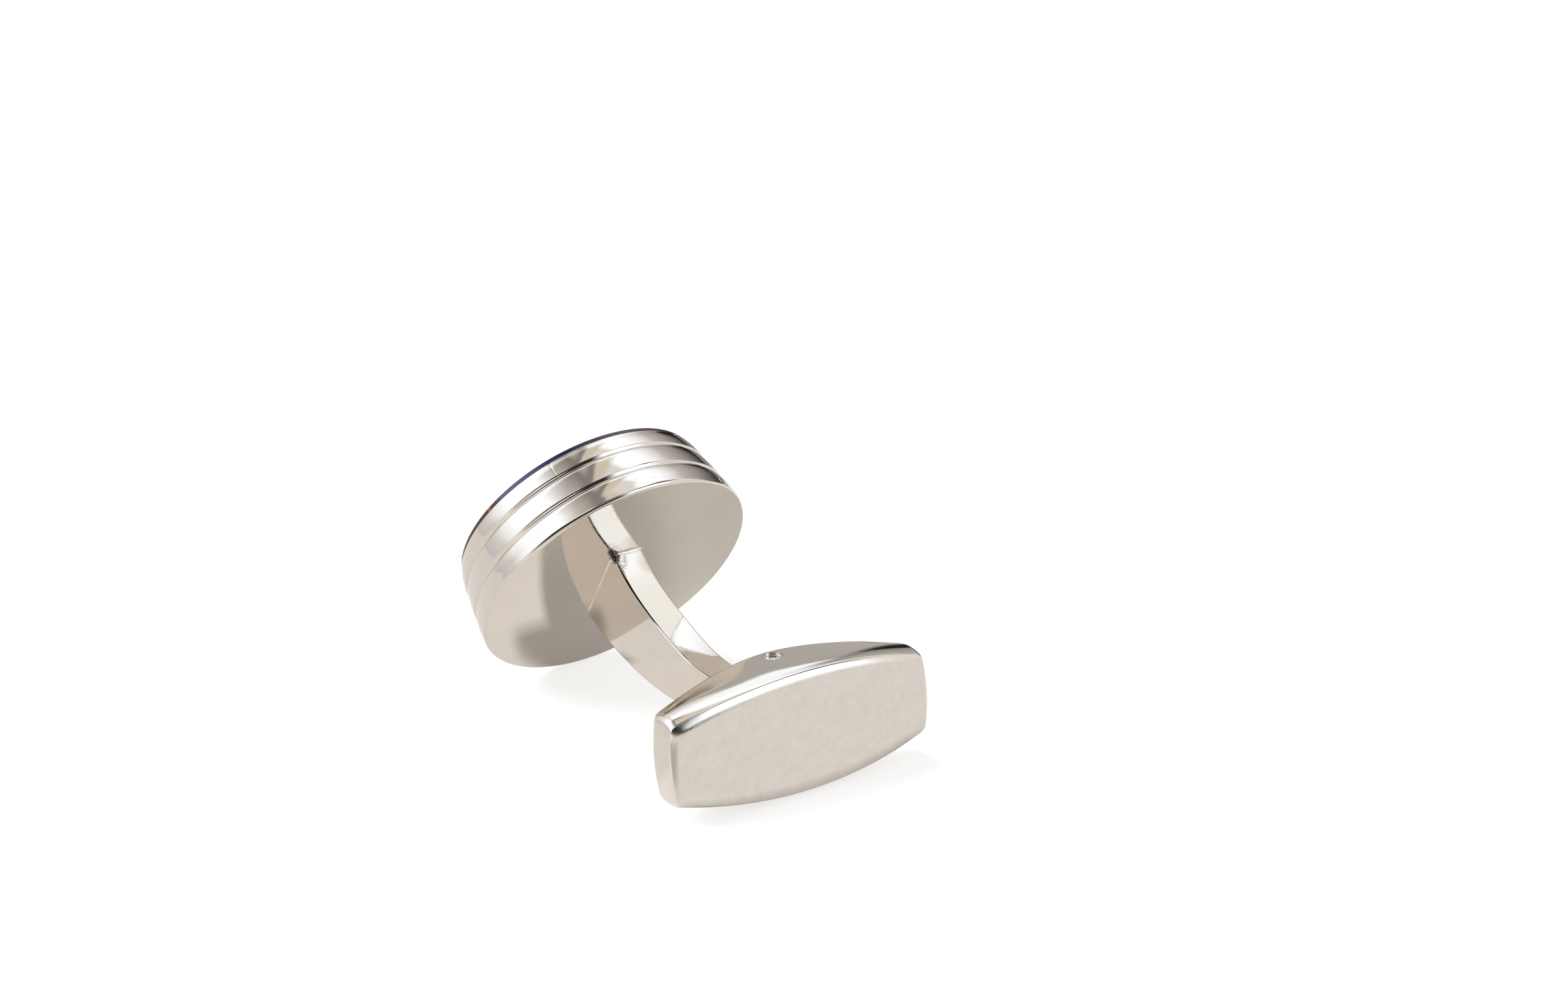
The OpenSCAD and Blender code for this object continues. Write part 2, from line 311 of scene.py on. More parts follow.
def rounded(corners, radii, steps=8, most=0.49):
    """A polyline's points, each corner replaced by an arc that touches both its sides and
    takes at most a share of each: the two radii to the touching points, turned from one to
    the other at an even rate."""
    line = []
    for before, corner, after, radius in zip(corners, corners[1:], corners[2:], radii):
        before, corner, after = map(np.asarray, (before, corner, after))
        if radius == 0:
            line.append([corner])
            continue
        back, on = before - corner, after - corner
        back_length, on_length = np.hypot(*back), np.hypot(*on)
        back, on = back / back_length, on / on_length
        half = math.acos(np.clip(back @ on, -1, 1)) / 2
        cut = min(radius / math.tan(half), most * back_length, most * on_length)
        centre = corner + (back + on) * cut / (1 + back @ on)
        start, end = corner + back * cut - centre, corner + on * cut - centre
        swept = math.pi - 2 * half
        share = np.linspace(0, 1, steps)[:, None]
        turning = start * np.sin((1 - share) * swept) + end * np.sin(share * swept)
        line.append(centre + turning / math.sin(swept))
    return np.vstack([[corners[0]], *line, [corners[-1]]])


def skin(name, points, body, node, round_rows=False, sharp=sharp_from):
    """A closed mesh on a grid of points: quads join neighbours, the second index runs
    round, and rows that meet in a point become a pole."""
    rows, columns = points.shape[:2]
    index = np.arange(rows * columns).reshape(rows, columns)
    if round_rows:
        index = np.vstack([index, index[:1]])
    turned = np.roll(index, -1, axis=1)
    quads = np.stack([index[:-1], turned[:-1], turned[1:], index[1:]], axis=-1).reshape(-1, 4)
    mesh = bpy.data.meshes.new(name)
    mesh.from_pydata(points.reshape(-1, 3).tolist(), [], quads.tolist())
    work = bmesh.new()
    work.from_mesh(mesh)
    bmesh.ops.remove_doubles(work, verts=work.verts, dist=1e-7)
    bmesh.ops.dissolve_degenerate(work, edges=work.edges, dist=1e-8)
    bmesh.ops.recalc_face_normals(work, faces=work.faces)
    work.to_mesh(mesh)
    work.free()
    mesh.shade_smooth()
    mesh.set_sharp_from_angle(angle=math.radians(sharp))
    piece = bpy.data.objects.new(name, mesh)
    bpy.context.collection.objects.link(piece)
    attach(piece, body)
    if node:
        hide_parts(node)
    return piece


def lathe(profile, angles):
    """Turns a profile of radius and depth about the head's axis, at each angle."""
    radius, depth = profile[:, 0, None], profile[:, 1, None]
    return on_head(radius * np.cos(angles), radius * np.sin(angles), depth + 0 * angles)


def wall_radius(depth):
    """The head's radius at a depth below the back plate: a taper that steepens a little
    towards the front, as a parabola."""
    share = depth / head_height
    return head_radius - band_crown - front_inset * share * (1 - wall_curve * (1 - share))


def band(top, bottom, steps=14):
    """Corners of one band between two depths: the wall, and a parabola's fullness on it."""
    depth = np.linspace(top, bottom, steps)
    fullness = 1 - (2 * (depth - top) / (bottom - top) - 1) ** 2
    return np.c_[wall_radius(depth) + band_crown * fullness, -depth]


def groove(depth, first=-1, last=1, steps=16):
    """Corners of a groove about a depth, or of its rear or front half: a raised cosine, cut
    where its slope meets the bands'. It runs from -1 at its rear lip to 1 at its front."""
    share = np.linspace(first, last, steps) * groove_cut
    at = depth + share * groove_spread / 2
    return np.c_[wall_radius(at) - groove_depth * (1 + np.cos(np.pi * share)) / 2, -at]


def tinted(tree, share, dark_up_to, dark, light_from, light):
    """A colour that goes from dark to light as a share passes from one level to another."""
    tint = node_of(tree, "ShaderNodeValToRGB", share)
    for stop, level, colour in zip(tint.color_ramp.elements, (dark_up_to, light_from), (dark, light)):
        stop.position = level
        stop.color = (*colour, 1)
    return tint.outputs["Color"]


def polished(name, light, dark, gloss, mottle, blotch=420.0, grit=0.6):
    """Plated metal: a tint that drifts between two near tones in blotches, the smaller the
    higher blotch and grit are, a polish that varies a little, and a fine unevenness."""
    material = bpy.data.materials.new(name)
    material.use_nodes = True
    tree = material.node_tree
    metal = tree.nodes["Principled BSDF"]
    metal.inputs["Metallic"].default_value = 1.0
    place = node_of(tree, "ShaderNodeTexCoord").outputs["Object"]
    drift = node_of(tree, "ShaderNodeTexNoise", place, Scale=blotch, Detail=6.0, Roughness=grit)
    tint = tinted(tree, drift.outputs["Fac"], 0.35, dark, 0.65, light)
    tree.links.new(tint, metal.inputs["Base Color"])
    wear = node_of(tree, "ShaderNodeTexNoise", place, Scale=1500.0, Detail=4.0, Roughness=0.6)
    polish = node_of(tree, "ShaderNodeMapRange", wear.outputs["Fac"], From_Min=0.3, From_Max=0.7,
                     To_Min=gloss[0], To_Max=gloss[1])
    tree.links.new(polish.outputs["Result"], metal.inputs["Roughness"])
    grain = node_of(tree, "ShaderNodeTexNoise", place, Scale=2600.0, Detail=2.0, Roughness=0.5)
    dents = node_of(tree, "ShaderNodeBump", Strength=mottle, Distance=0.00002, Height=grain.outputs["Fac"])
    tree.links.new(dents.outputs["Normal"], metal.inputs["Normal"])
    return material


plate_light = (0.722, 0.661, 0.590)
plate_dark = (0.700, 0.641, 0.572)
plate_gloss = (0.05, 0.10)
plate_mottle = 0.03
bright_metal = polished("bright_metal", plate_light, plate_dark, plate_gloss, plate_mottle)

turns = np.linspace(0, 2 * np.pi, 384, endpoint=False)
inner_floor = -floor_thickness
groove_half = groove_spread / 2 * groove_cut
case_corners = [
    (0, 0), (head_radius * flat_share, 0), (wall_radius(0), 0),
    *band(back_round * clear_of_round, rear_band - groove_half)[:-1], *groove(rear_band),
    *band(rear_band + groove_half, case_height - groove_half)[1:-1], *groove(case_height, last=0),
    (bore_radius, -case_height), (bore_radius, inner_floor), (0, inner_floor),
]
case_radii = np.zeros(len(case_corners) - 2)
case_radii[1] = back_round
case = skin("head_case", lathe(rounded(case_corners, case_radii), turns), "head", "case")
case.data.materials.append(bright_metal)


# Bezel
# The front band of the head is a ring of its own, bent from strip and soldered on: its
# joint shows as a nick in the front edge. Its spigot sits inside the case.
rim_thickness = 0.15
seat_depth = 0.85
spigot_height = 1.0
spigot_thickness = 0.9
web_width = 3.4
seat_gap = 0.03
rim_round = 0.12
# The nick in the front edge and the solder seam that runs back from it, a little crooked.
nick_angle = math.radians(122)
nick_span = math.radians(1.2)
nick_margin = math.radians(0.1)
nick_depth = 0.07
nick_width = 0.05
nick_reach = 0.22
seam_depth = 0.006
seam_width = 0.02
seam_wander = 0.04
seam_waves = 3.0
outer_margin = 0.02
seat_radius = front_radius - rim_thickness
spigot_radius = bore_radius - seat_gap
bezel_corners = [
    (seat_radius - web_width, -case_height), (spigot_radius - spigot_thickness, -case_height),
    (spigot_radius - spigot_thickness, spigot_height - case_height),
    (spigot_radius, spigot_height - case_height), (spigot_radius, -case_height),
    *groove(case_height, first=0), *band(case_height + groove_half, head_height - rim_round)[1:],
    (wall_radius(head_height), -head_height), (seat_radius, -head_height),
    (seat_radius, seat_depth - head_height), (seat_radius - web_width, seat_depth - head_height),
    (seat_radius - web_width, -case_height),
]
bezel_radii = np.zeros(len(bezel_corners) - 2)
bezel_radii[-4] = rim_round
nick_turns = nick_angle + np.linspace(-nick_span, nick_span, 33)
away_from_nick = abs(turns - nick_angle) > nick_span + nick_margin
bezel_turns = np.sort(np.r_[turns[away_from_nick], nick_turns])
bezel_line = rounded(bezel_corners, bezel_radii)
bezel_points = lathe(bezel_line, bezel_turns)
outside = (bezel_line[:, 0] > seat_radius + outer_margin)[:, None]
near_rim = np.exp((-bezel_line[:, 1:] - head_height) / nick_reach) * outside
off_nick = (bezel_turns - nick_angle) * front_radius
nick = nick_depth * near_rim * np.exp(-(off_nick / nick_width) ** 2)
seam_bend = seam_wander * np.sin((bezel_line[:, 1:] + head_height) * seam_waves)
seam = seam_depth * outside * np.exp(-((off_nick - seam_bend) / seam_width) ** 2)
ways = bezel_points - on_head(0, 0, bezel_line[:, 1:])
ways = ways / np.linalg.norm(ways, axis=-1, keepdims=True)
bezel_points = bezel_points - ways * (nick + seam)[..., None] * mm
bezel = skin("head_bezel", bezel_points, "head", "bezel")
bezel.data.materials.append(bright_metal)


# Inlay
# A flat disc of striped material, bevelled and polished, that stands proud of the rim.
# The photograph shows only its edge, so the front carries the edge's colours as stripes.
inlay_roll = 0.175
inlay_lower_round = 0.03
inlay_radius = (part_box("inlay")[1].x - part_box("inlay")[0].x) / 2 / mm
inlay_top = head_height + inlay_proud
cement_thickness = 0.1
inlay_bottom = head_height - seat_depth + cement_thickness
stripe_angle = math.radians(40)
stripe_colours = [
    (-1.00, (0.035, 0.006, 0.008)), (-0.62, (0.060, 0.010, 0.012)), (-0.45, (0.075, 0.014, 0.014)),
    (-0.435, (0.36, 0.11, 0.035)), (-0.415, (0.075, 0.014, 0.015)), (-0.35, (0.055, 0.02, 0.035)),
    (-0.30, (0.075, 0.072, 0.17)), (-0.12, (0.062, 0.058, 0.15)), (-0.02, (0.042, 0.035, 0.10)),
    (0.10, (0.014, 0.010, 0.060)), (0.40, (0.014, 0.008, 0.055)), (0.50, (0.045, 0.014, 0.034)),
    (0.70, (0.070, 0.024, 0.032)), (1.00, (0.085, 0.042, 0.030)),
]
inlay_profile = rounded(
    [(0, -inlay_top), (inlay_radius * flat_share, -inlay_top), (inlay_radius, -inlay_top),
     (inlay_radius, -inlay_bottom), (0, -inlay_bottom)],
    [0, inlay_roll, inlay_lower_round])


def striped():
    """Glossy stripes that run through the disc, each one made of finer threads. The
    pattern is laid along the mesh's own map, whose first axis crosses the stripes."""
    material = bpy.data.materials.new("striped_inlay")
    material.use_nodes = True
    tree = material.node_tree
    gloss = tree.nodes["Principled BSDF"]
    gloss.inputs["Roughness"].default_value = 0.12
    gloss.inputs["Coat Weight"].default_value = 0.1
    gloss.inputs["Coat Roughness"].default_value = 0.05
    chart = node_of(tree, "ShaderNodeUVMap")
    chart.uv_map = "stripes"
    place = chart.outputs["UV"]
    stretch = node_of(tree, "ShaderNodeMapping", place, Scale=(220.0, 6.0, 1.0))
    thread = node_of(tree, "ShaderNodeTexNoise", stretch.outputs["Vector"],
                     Scale=1.0, Detail=4.0, Roughness=0.65)
    split = node_of(tree, "ShaderNodeSeparateXYZ", place)
    ramp = node_of(tree, "ShaderNodeValToRGB", split.outputs["X"])
    stops = ramp.color_ramp.elements
    for number, (station, colour) in enumerate(stripe_colours):
        share = (station + 1) / 2
        stop = stops[number] if number < 2 else stops.new(share)
        stop.position = share
        stop.color = (*colour, 1)
    shade = node_of(tree, "ShaderNodeMapRange", thread.outputs["Fac"],
                    From_Min=0.25, From_Max=0.75, To_Min=0.55, To_Max=1.6)
    deep = node_of(tree, "ShaderNodeVectorMath", ramp.outputs["Color"], operation="SCALE",
                   Scale=shade.outputs["Result"])
    tree.links.new(deep.outputs["Vector"], gloss.inputs["Base Color"])
    return material


inlay = skin("head_inlay", lathe(inlay_profile, turns), "head", "inlay")
chart = inlay.data.uv_layers.new(name="stripes")
corner_of = np.empty(len(inlay.data.loops), int)
inlay.data.loops.foreach_get("vertex_index", corner_of)
spots = np.empty(len(inlay.data.vertices) * 3)
inlay.data.vertices.foreach_get("co", spots)
spots = (spots.reshape(-1, 3) - plate_centre) / mm / inlay_radius
flat = np.c_[spots @ across, spots @ up_plate]
cross = np.array((math.cos(stripe_angle), math.sin(stripe_angle)))
along = np.array((-cross[1], cross[0]))
chart.data.foreach_set("uv", (np.c_[flat @ cross, flat @ along][corner_of] / 2 + 0.5).ravel())
inlay.data.materials.append(striped())


# Post
# One flat bar of plated metal, bent in a shallow arc and tapered from the plate to the
# toggle. Its far end is squared into a cam and drilled for the pin.
post_thickness = (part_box("post")[1].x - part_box("post")[0].x) / mm
foot_width = 6.0
neck_width = 2.55
bend_radius = 19.1
bend = math.radians(38)
straight_length = 5.5
foot_drop = 0.42
# The round of its edges, which grows towards the foot.
post_edge = 0.14
edge_growth = 0.09
edge_reach = 6.0
# The low wave that filing left on its upper side.
filing_wave = 0.06
filing_length = 8.6
filing_crest = 6.5
filing_fade = 2.0
# The cam at its far end and the bore for the pin.
cam_corner = 0.15
pin_radius = 0.6
running_gap = 0.03
# The marks that the torch left at the foot.
torch_height = 0.2
torch_reach = 1.0
torch_fade = 1.4
pit_scale = 12000.0
scale_brown = (0.06, 0.05, 0.035)
post_gloss = (0.03, 0.07)
arc_length = bend_radius * bend
pin_station = arc_length + straight_length
cam_flat = post_thickness / 2


def middle_line(station):
    """Place and heading of the bar's middle at a distance along it: an arc, then its
    tangent. The first value is across the bar's width and the second out of the plate."""
    turned = bend * np.minimum(station, arc_length) / arc_length
    beyond = np.maximum(station - arc_length, 0)
    wide = bend_radius * (1 - np.cos(turned)) + beyond * np.sin(turned) - foot_drop
    out = bend_radius * np.sin(turned) + beyond * np.cos(turned)
    return wide, out, turned


def half_width_at(station):
    """Half the bar's width at a distance along it: an even taper down the arc."""
    return (foot_width + (neck_width - foot_width) * np.minimum(station / arc_length, 1)) / 2


def bar(stations, half_thick, half_wide, upper, edge):
    """A rectangle with rounded corners carried along the middle line. Each corner is a
    quarter circle, half_thick and half_wide are the half sizes at each station, and upper
    is what is added to the width on its upper side."""
    quarter = np.linspace(0, np.pi / 2, 9)
    angle = np.concatenate([quarter + turn * np.pi / 2 for turn in range(4)])
    sign_x = np.repeat([1, -1, -1, 1], len(quarter))
    sign_w = np.repeat([1, 1, -1, -1], len(quarter))
    wide, out, turned = (value[:, None] for value in middle_line(stations))
    x = sign_x * (half_thick - edge)[:, None] + edge[:, None] * np.cos(angle)
    w = sign_w * (half_wide - edge)[:, None] + edge[:, None] * np.sin(angle)
    w = w + (sign_w > 0) * upper[:, None]
    return on_head(x, wide + w * np.cos(turned), out - w * np.sin(turned))


def closed_ends(points):
    """Adds to a run of rings the middle point of its first and its last ring."""
    first = np.broadcast_to(points[:1].mean(axis=1, keepdims=True), points[:1].shape)
    last = np.broadcast_to(points[-1:].mean(axis=1, keepdims=True), points[-1:].shape)
    return np.concatenate([first, points, last])


def rod(name, radius, length, steps=64):
    """A cylinder along the pin's axis, about the pin's middle, to cut a bore with."""
    cutter = bpy.data.meshes.new(name)
    shape = bmesh.new()
    bmesh.ops.create_cone(shape, cap_ends=True, segments=steps, radius1=radius * mm,
                          radius2=radius * mm, depth=length * mm)
    shape.to_mesh(cutter)
    shape.free()
    stand = Vector((0, 0, 1)).rotation_difference(Vector(pin_axis)).to_matrix().to_4x4()
    cutter.transform(stand)
    cutter.transform(Matrix.Translation(Vector(pin_place)))
    return bpy.data.objects.new(name, cutter)


def drilled(piece, radius, length):
    """Cuts a bore through a piece along the pin's axis and applies it."""
    cutter = rod("drill", radius, length)
    bpy.context.collection.objects.link(cutter)
    cut = piece.modifiers.new("bore", "BOOLEAN")
    cut.operation = "DIFFERENCE"
    cut.solver = "EXACT"
    cut.object = cutter
    with bpy.context.temp_override(object=piece, active_object=piece, selected_objects=[piece]):
        bpy.ops.object.modifier_apply(modifier=cut.name)
    bpy.data.objects.remove(cutter)
    piece.data.set_sharp_from_angle(angle=math.radians(sharp_from))


def burnt(material):
    """Marks left by the torch: round its spot, and less with the distance from it, the
    metal is pitted and its colour goes to a brown scale in patches."""
    tree = material.node_tree
    metal = tree.nodes["Principled BSDF"]
    place = node_of(tree, "ShaderNodeTexCoord").outputs["Object"]
    away = node_of(tree, "ShaderNodeVectorMath", place, torch_spot, operation="DISTANCE")
    near = node_of(tree, "ShaderNodeMapRange", away.outputs["Value"], From_Min=torch_reach * mm, From_Max=0.0)
    near = near.outputs["Result"]
    cells = node_of(tree, "ShaderNodeTexVoronoi", place, Scale=pit_scale, Randomness=1.0)
    hollow = node_of(tree, "ShaderNodeMapRange", cells.outputs["Distance"], From_Min=0.1, From_Max=0.55)
    strength = node_of(tree, "ShaderNodeMath", near, torch_fade, operation="POWER")
    grain = metal.inputs["Normal"].links[0].from_node
    pits = node_of(tree, "ShaderNodeBump", Distance=0.00005, Strength=strength.outputs["Value"],
                   Height=hollow.outputs["Result"])
    tree.links.new(pits.outputs["Normal"], grain.inputs["Normal"])
    patches = node_of(tree, "ShaderNodeTexNoise", place, Scale=pit_scale / 2, Detail=5.0, Roughness=0.75)
    mask = node_of(tree, "ShaderNodeMath", near, patches.outputs["Fac"], operation="MULTIPLY")
    scale = node_of(tree, "ShaderNodeMapRange", mask.outputs["Value"], From_Min=0.26, From_Max=0.38)
    tint = metal.inputs["Base Color"].links[0].from_socket
    blend = node_of(tree, "ShaderNodeMix")
    blend.data_type = "RGBA"
    blend.inputs["B"].default_value = (*scale_brown, 1)
    tree.links.new(scale.outputs["Result"], blend.inputs["Factor"])
    tree.links.new(tint, blend.inputs["A"])
    tree.links.new(blend.outputs["Result"], metal.inputs["Base Color"])
    return material


hinge = frame["joints"][0]
pin_place = np.array(hinge["pos_m"])
pin_axis = np.array(hinge["axis"])
bar_end = pin_station + cam_flat
stations = np.concatenate([
    np.linspace(0, arc_length, 90), np.linspace(arc_length, bar_end - post_edge, 24)[1:],
    bar_end - post_edge * (1 - np.sin(np.linspace(0, np.pi / 2, 7)))[1:],
])
past_pin = np.clip(stations - pin_station, 0, cam_flat)
half_thick = np.minimum(cam_flat, np.sqrt((cam_flat + cam_corner) ** 2 - past_pin ** 2))
half_wide = half_width_at(stations)
rolled = np.clip(stations - (bar_end - post_edge), 0, post_edge)
rolled = post_edge - np.sqrt(post_edge ** 2 - rolled ** 2)
wave = filing_wave * np.cos(2 * np.pi * (stations - filing_crest) / filing_length)
wave = wave * np.clip(np.minimum(stations, arc_length - stations) / filing_fade, 0, 1)
edges = post_edge + edge_growth * np.clip(1 - stations / edge_reach, 0, 1)
rings = bar(stations, half_thick - rolled, half_wide - rolled, wave, edges)
post = skin("post_bar", closed_ends(rings), "head", "post")
drilled(post, pin_radius + running_gap, 3 * neck_width)
torch_spot = on_head(-cam_flat, foot_width / 2 - foot_drop, torch_height)
post_metal = polished("post_metal", plate_light, plate_dark, post_gloss, plate_mottle)
post.data.materials.append(burnt(post_metal))


# Toggle
# The whale-back bar: its face swells from a crisp ridge all round, its flanks roll back
# from the ridge, its corners are round, and its humped back is slotted for the post.
toggle_length = (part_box("toggle_body")[1].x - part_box("toggle_body")[0].x) / mm
toggle_width = 7.5
end_width = 4.95
# Seen from the face: the corners' rounds at the face and the back, the cap on each end,
# and how the end bows out at its middle and in at its corners.
face_corner = 0.4
back_corner = 0.42
end_bulge = 0.05
end_bow = 0.14
end_arc = 0.28
end_power = 6
# The face: its edge's height over the pin and fall to the ends, the swell inside the edge
# and how soon it comes from the sides and the ends, and the edge's own small rounds.
face_height = 3.15
face_crown = 0.47
face_swell = 0.26
swell_reach = 0.6
end_reach = 0.3
ridge = 0.1
end_ridge = 0.12
# The flank: its roll under the ridge and its belly towards the ends.
flank_roll = 0.13
flank_power = 4.0
flank_belly = 0.2
# The back: the hump's depth under the pin, its rise to the ends and its edges' round.
hump_height = 1.25
back_fall = 1.7
hump_softness = 0.3
back_edge_round = 0.55
end_trim = 0.6
# The slot for the post, as long as the swing needs, and the spring's pocket in it.
swing = math.radians(82)
slot_gap = 0.12
slot_lip = 0.08
rim_land = 0.02
spring_length = 7.2
spring_rise = 0.7
spring_thickness = 0.25
spring_gap = 0.1
press_gap = 0.01
# Where the mesh has its points: closer to the sides and the ridge, clear of the middle, and
# just before and after the pocket's ends. Then the angle from which its edges look sharp.
face_gather = 1.7
flank_gather = 1.6
middle_gap = 0.12
pocket_step = 0.002
toggle_sharp = 30.0
# The face's satin finish, on all that faces out of it.
satin_from = 0.85
satin_light = (0.742, 0.683, 0.610)
satin_dark = (0.673, 0.615, 0.549)
satin_gloss = (0.10, 0.16)
satin_mottle = 0.1
satin_blotch = 1300.0
satin_grit = 0.85
half_length = toggle_length / 2
pocket_half = spring_length / 2 + slot_gap
pocket_depth = cam_flat + spring_gap + spring_thickness + spring_rise
slot_half = neck_width / 2 + slot_gap
bend_at_end = (arc_length - pin_station + half_length) / bend_radius
swerve_at_end = bend_radius * (1 - math.cos(bend_at_end))
slot_half_end = half_width_at(pin_station - half_length) + swerve_at_end + slot_gap
out_of_face = np.cross(across, pin_axis)


def on_toggle(x, w, n):
    """The row's place of a point x along the toggle, w along its pin and n out of its face."""
    x, w, n = np.broadcast_arrays(x, w, n)
    out = x[..., None] * across + w[..., None] * pin_axis + n[..., None] * out_of_face
    return pin_place + out * mm


def corner(start, middle, end, share):
    """Points of a curve from start to end with a control point between, at each share."""
    return [a * (1 - share) ** 2 + b * 2 * share * (1 - share) + c * share ** 2
            for a, b, c in zip(start, middle, end)]


def arc_fall(x, radius):
    """How far a circle of this radius, tangent to a side, has left it at x near the end."""
    return radius - np.sqrt(radius ** 2 - np.clip(abs(x) - half_length + radius, 0, radius) ** 2)


def toggle_sections(x):
    """Half of the toggle's section at each x, from the middle of the face over the ridge,
    down the flank, round to the back, and over the slot's lip to the middle of its floor.
    The face rises from its edges by a share that nears 1 with the distance from them, the
    flank bellies towards the ends as a half wave, and the plan's corners grow rounder from
    the face to the back. Points lie closer together where the shape turns."""
    share = abs(x) / half_length
    full = end_width / 2 + (toggle_width - end_width) / 2 * (1 - share ** 2)
    half_width = full - arc_fall(x, face_corner) - flank_roll
    edge = face_height - ridge - face_crown * share ** 2 - arc_fall(x, end_ridge)
    softened = np.sqrt(share ** 2 + hump_softness ** 2) - hump_softness
    softened = softened / (math.hypot(1, hump_softness) - hump_softness)
    back = -hump_height + back_fall * softened + arc_fall(x, back_edge_round)
    middle = (edge + back) / 2
    turn_round = back_edge_round * (1 - end_trim * share ** 4)

    def face(w):
        from_side = 1 - np.cosh(w / swell_reach) / np.cosh(half_width / swell_reach)
        return edge + face_swell * from_side * (1 - np.exp((abs(x) - half_length) / end_reach))

    def side(n):
        down = np.clip((edge - n) / (edge - back), 0, 1)
        belly = flank_belly * share ** 2 * np.sin(np.pi * down)
        return full + belly - arc_fall(x, face_corner + (back_corner - face_corner) * down)

    def flank(n):
        reach = np.clip((n - middle) / (edge - middle), 0, None)
        return side(n) - flank_roll * reach ** flank_power

    step = np.linspace(0, 1, 40)
    face_w = (half_width - ridge) * (1 - (1 - step) ** face_gather)
    parts = [(face_w, face(face_w))]
    step = np.linspace(0, 1, 9)[1:]
    parts.append(corner((half_width - ridge, face(half_width - ridge)), (half_width, edge),
                        (flank(edge - ridge), edge - ridge), step))
    step = np.linspace(0, 1, 30)[1:]
    flank_n = edge - ridge + (back + turn_round - edge + ridge) * step ** flank_gather
    parts.append((flank(flank_n), flank_n))
    turn = np.linspace(0, np.pi / 2, 13)[1:]
    turn_n = back + turn_round * (1 - np.sin(turn))
    parts.append((side(turn_n) - turn_round * (1 - np.cos(turn)), turn_n))
    slot = np.interp(abs(x), [0, straight_length, half_length], [slot_half, slot_half, slot_half_end])
    rim = side(back) - turn_round
    slot = np.minimum(slot, rim - slot_lip - rim_land)
    floor = (cam_flat + slot_gap) / np.sin(swing) - abs(x) / np.tan(swing)
    floor = np.where(abs(x) < pocket_half, pocket_depth, floor)
    depth = np.maximum(floor - back, 0)
    lip = np.minimum(slot_lip, depth / 2)
    step = np.linspace(0, 1, 6)[1:]
    parts.append((rim + (slot + slot_lip - rim) * step, back + 0 * step))
    parts.append(corner((slot + slot_lip, back), (slot, back), (slot, back + lip), step))
    parts.append((slot + 0 * step, back + lip + (depth - lip) * step))
    parts.append((slot * (1 - step), back + depth + 0 * step))
    w = np.concatenate([np.broadcast_to(part[0], (len(x), part[0].shape[-1])) for part in parts], axis=1)
    n = np.concatenate([np.broadcast_to(part[1], (len(x), part[1].shape[-1])) for part in parts], axis=1)
    return w, n


straight = half_length - back_corner
bends = straight + back_corner * np.sin(np.linspace(0, np.pi / 2, 25)[1:])
pocket_edges = [pocket_half - pocket_step, pocket_half + pocket_step]
along = np.sort(np.r_[np.linspace(middle_gap, straight, 60), bends, pocket_edges])
along = np.r_[-along[::-1], along]
w, n = toggle_sections(along[:, None])
w, n = np.hstack([w, -w[:, -2:0:-1]]), np.hstack([n, n[:, -2:0:-1]])
x = np.broadcast_to(along[:, None], w.shape)
closing = np.linspace(0, 1, 12)[1:, None]
cap_n = n[-1:] + ((n[-1].max() + n[-1].min()) / 2 - n[-1:]) * closing
cap_w = w[-1:] * (1 - closing)
cap_x = np.broadcast_to(half_length - end_bulge * (1 - closing) ** 2, cap_w.shape)
x = np.vstack([-cap_x[::-1], x * (half_length - end_bulge) / half_length, cap_x])
w = np.vstack([cap_w[::-1], w, cap_w])
n = np.vstack([cap_n[::-1], n, cap_n])
bow = (end_bow - end_arc * (2 * w / end_width) ** 2) / half_length
x = x * (1 + bow * (abs(x) / half_length) ** end_power)
toggle = skin("toggle_shell", on_toggle(x, w, n), "toggle", "toggle_body", sharp=toggle_sharp)
drilled(toggle, pin_radius + press_gap, 2 * toggle_width)
toggle.data.materials.append(bright_metal)
satin_metal = polished("satin_metal", satin_light, satin_dark, satin_gloss, satin_mottle,
                       satin_blotch, satin_grit)
toggle.data.materials.append(satin_metal)
facing = np.empty(len(toggle.data.polygons) * 3)
toggle.data.polygons.foreach_get("normal", facing)
on_the_face = facing.reshape(-1, 3) @ out_of_face > satin_from
toggle.data.polygons.foreach_set("material_index", on_the_face.astype(int))


# Braze
# The braze stands in the corner round the post's foot as a hollow bead that swells and
# shrinks along its way, and is heaped at the foot's upper end.
braze_size = 0.08
braze_swing = 0.08
braze_heap = 0.1
heap_from = 0.75
braze_lumps = 900.0
braze_gloss = (0.05, 0.2)
braze_mottle = 0.12
sunk_in_post = 0.12
sunk_in_plate = 0.08


def foot_outline(points):
    """Places round the foot's edge and the ways out of it, corners rounded as the bar's."""
    signs = np.array([(1, 1), (-1, 1), (-1, -1), (1, -1)])
    centres = signs * (cam_flat - post_edge, foot_width / 2 - post_edge)
    quarter = np.linspace(0, np.pi / 2, points)
    place, way = [], []
    for turn, centre in enumerate(centres):
        out = np.c_[np.cos(quarter + turn * np.pi / 2), np.sin(quarter + turn * np.pi / 2)]
        place.append(centre + post_edge * out)
        way.append(out)
        side = np.linspace(0, 1, 40 if turn % 2 else 90)[1:-1, None]
        start, end = place[-1][-1], centres[(turn + 1) % 4] + post_edge * out[-1]
        place.append(start + (end - start) * side)
        way.append(np.broadcast_to(out[-1], (len(side), 2)))
    return np.vstack(place), np.vstack(way)


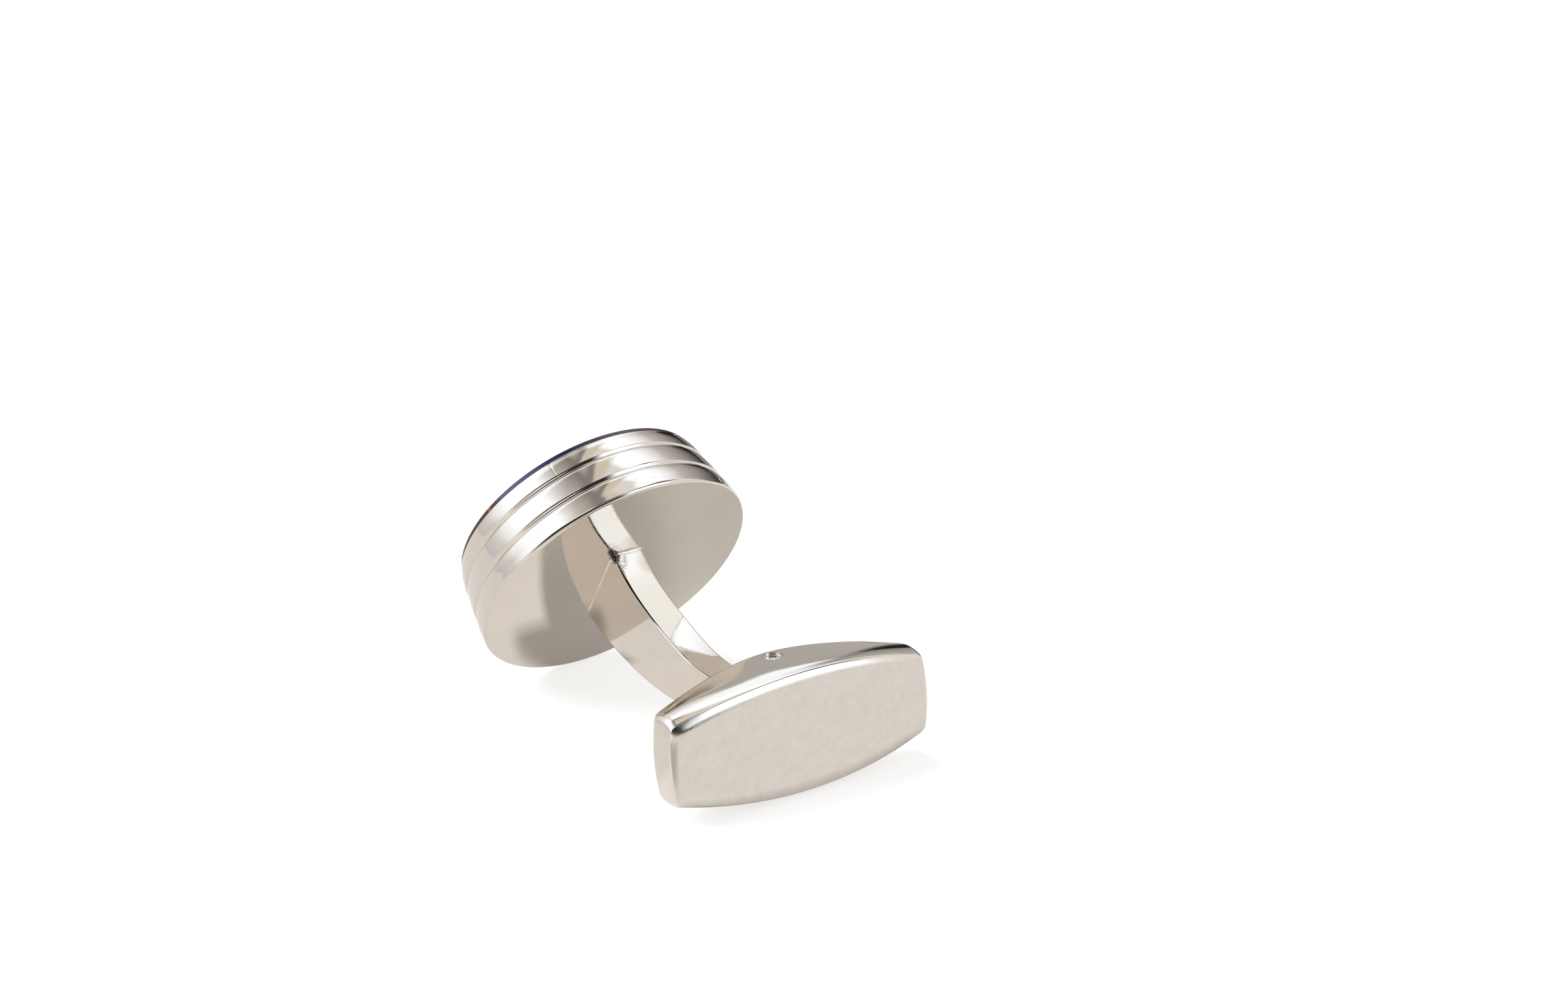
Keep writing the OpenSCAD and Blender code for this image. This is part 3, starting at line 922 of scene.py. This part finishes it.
place, way = foot_outline(7)
spots = on_head(place[:, 0], place[:, 1] - foot_drop, 0)
lumps = np.array([noise.fractal(Vector(spot) * braze_lumps, 1.0, 2.0, 3) for spot in spots])
upper = np.clip(place[:, 1] / (foot_width / 2) - heap_from, 0, 1) / (1 - heap_from)
heap = braze_heap * upper * (1 - (place[:, 0] / cam_flat) ** 2)
size = (braze_size + braze_swing * lumps + heap)[:, None]
turn = np.linspace(0, np.pi / 2, 9)
inner, lower = 0 * size - sunk_in_post, 0 * size - sunk_in_plate
offset = np.hstack([size * (1 - np.sin(turn)), inner, inner, size])
height = np.hstack([size * (1 - np.cos(turn)), size, lower, lower])
spread = place[:, None] + way[:, None] * offset[..., None]
ring = on_head(spread[..., 0], spread[..., 1] - foot_drop, height)
bead = skin("braze_fillet", ring, "head", "braze_bead", round_rows=True)
braze_metal = polished("braze_metal", plate_light, plate_dark, braze_gloss, braze_mottle)
bead.data.materials.append(burnt(braze_metal))


# Pin
# The steel pin that the toggle swings on. Its ends lie a little under the flanks, slightly
# domed, with the small dimple of the centre that it was turned on.
pin_recess = 0.15
pin_half = toggle_width / 2 - pin_recess
dimple = 0.14
dimple_depth = 0.3
dome = 0.06
pin_light = (0.86, 0.85, 0.83)
pin_dark = (0.80, 0.79, 0.77)
pin_gloss = (0.24, 0.34)
pin_mottle = 0.05
pin_reach = np.linspace(dimple, pin_radius, 12)
pin_end = pin_half - dome * (pin_reach / pin_radius) ** 2
upper_end = [(0, pin_half - dimple_depth), *zip(pin_reach, pin_end)]
pin_profile = np.array(upper_end + [(reach, -height) for reach, height in upper_end[::-1]])
turn = np.linspace(0, 2 * np.pi, 96, endpoint=False)
radius, height = pin_profile[:, :1], pin_profile[:, 1:]
pin_points = on_toggle(radius * np.cos(turn), height, radius * np.sin(turn))
pin = skin("toggle_axle", pin_points, "toggle", "toggle_pin")
pin.data.materials.append(polished("pin_steel", pin_light, pin_dark, pin_gloss, pin_mottle))


# Cement
# The layer under the inlay, a grey-beige filled resin. It is squeezed thin, cures with a
# dull skin and shows only where the inlay is taken out.
cement_light = (0.52, 0.49, 0.43)
cement_dark = (0.36, 0.33, 0.28)


def cured():
    """Matt resin with fine filler specks of a lighter tone."""
    material = bpy.data.materials.new("cured_cement")
    material.use_nodes = True
    tree = material.node_tree
    resin = tree.nodes["Principled BSDF"]
    place = node_of(tree, "ShaderNodeTexCoord").outputs["Object"]
    filler = node_of(tree, "ShaderNodeTexNoise", place, Scale=3500.0, Detail=3.0, Roughness=0.7)
    filler = filler.outputs["Fac"]
    tree.links.new(tinted(tree, filler, 0.4, cement_dark, 0.7, cement_light), resin.inputs["Base Color"])
    dull = node_of(tree, "ShaderNodeMapRange", filler, To_Min=0.6, To_Max=0.85)
    tree.links.new(dull.outputs["Result"], resin.inputs["Roughness"])
    skin_bump = node_of(tree, "ShaderNodeBump", Strength=0.3, Distance=0.00002, Height=filler)
    tree.links.new(skin_bump.outputs["Normal"], resin.inputs["Normal"])
    return material


cement_look = cured()
for slot in frame["nodes"]["inlay_cement"].material_slots:
    slot.material = cement_look


# Leaf spring
# The bowed strip of hardened steel in the toggle that the post's cam bears on. Tempering
# has left it bluish grey, a little unevenly.
spring_light = (0.40, 0.41, 0.45)
spring_dark = (0.30, 0.31, 0.36)
spring_gloss = (0.16, 0.28)
spring_mottle = 0.1
spring_look = polished("spring_steel", spring_light, spring_dark, spring_gloss, spring_mottle)
for slot in frame["nodes"]["leaf_spring"].material_slots:
    slot.material = spring_look
